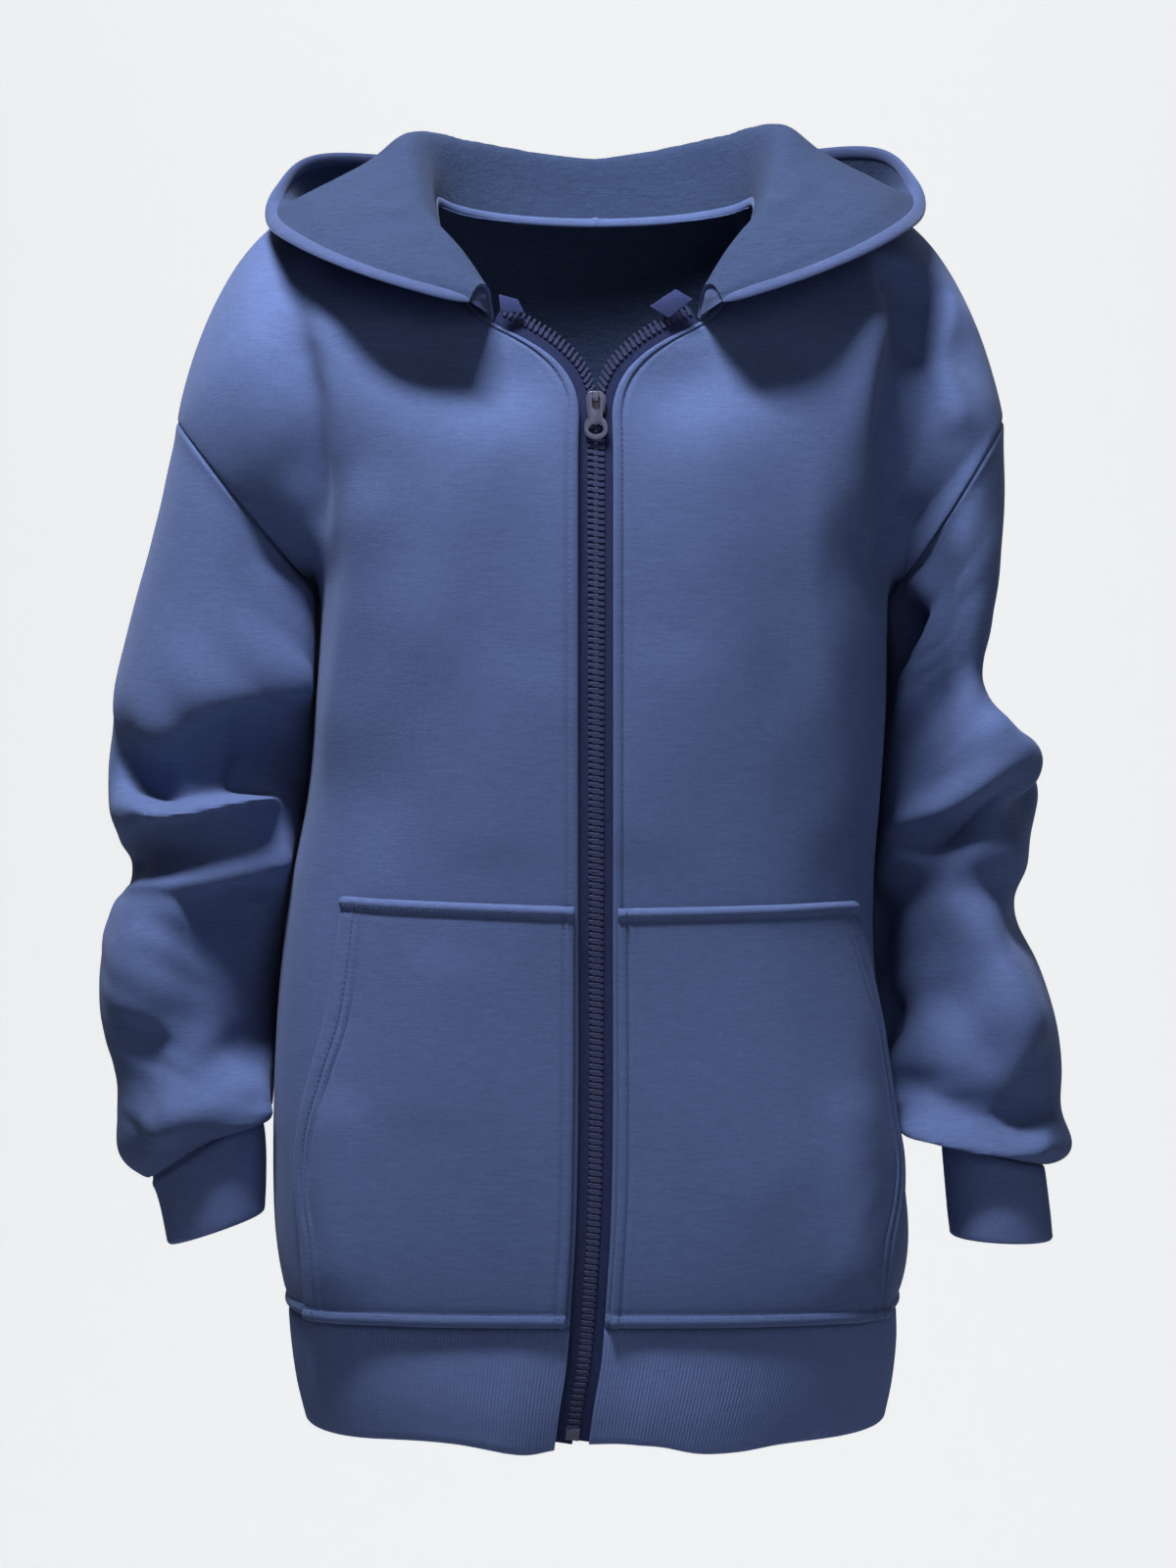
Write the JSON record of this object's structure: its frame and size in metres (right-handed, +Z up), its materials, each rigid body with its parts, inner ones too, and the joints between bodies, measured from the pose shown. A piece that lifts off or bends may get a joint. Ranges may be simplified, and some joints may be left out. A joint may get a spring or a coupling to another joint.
{
  "type": "zip-up hoodie",
  "caption": "Hollow, worn-shape zip-up hoodie with its hood down, dropped shoulders, split front pocket and ribbed cuffs and hem.",
  "frame": {"origin": "middle of the neck opening, level with the tops of the shoulders, where the wearer's neck comes through", "axes": "+Z up, the zip and front face -Y, +X is the wearer's left"},
  "size_m": [0.5898, 0.2937, 0.8041],
  "materials": {
    "jersey": "matte brushed-back knit",
    "rib": "fine rib knit",
    "tape": "woven tape",
    "teeth": "satin moulded plastic",
    "painted": "satin paint"
  },
  "bodies": {
    "garment": {"front_right": "jersey", "front_left": "jersey", "back": "jersey", "sleeve_right": "jersey", "sleeve_left": "jersey", "hood_right": "jersey", "hood_left": "jersey", "pocket_right": "jersey", "pocket_left": "jersey", "cuff_right": "rib", "cuff_left": "rib", "hem_band": "rib", "zip_tape_right": "tape", "zip_tape_left": "tape", "tape_end_right": "tape", "tape_end_left": "tape", "zip_teeth_right": "teeth", "zip_teeth_left": "teeth", "zip_chain": "teeth", "zip_slider": "painted", "zip_box": "painted"},
    "pull_tab": {"zip_pull": "painted"}
  },
  "joints": [
    {"name": "pull_hinge", "type": "hinge", "parent": "garment", "child": "pull_tab", "pos_m": [0, -0.1242, -0.0915], "axis": [-1, 0, 0], "range_deg": [0, 150]}
  ]
}
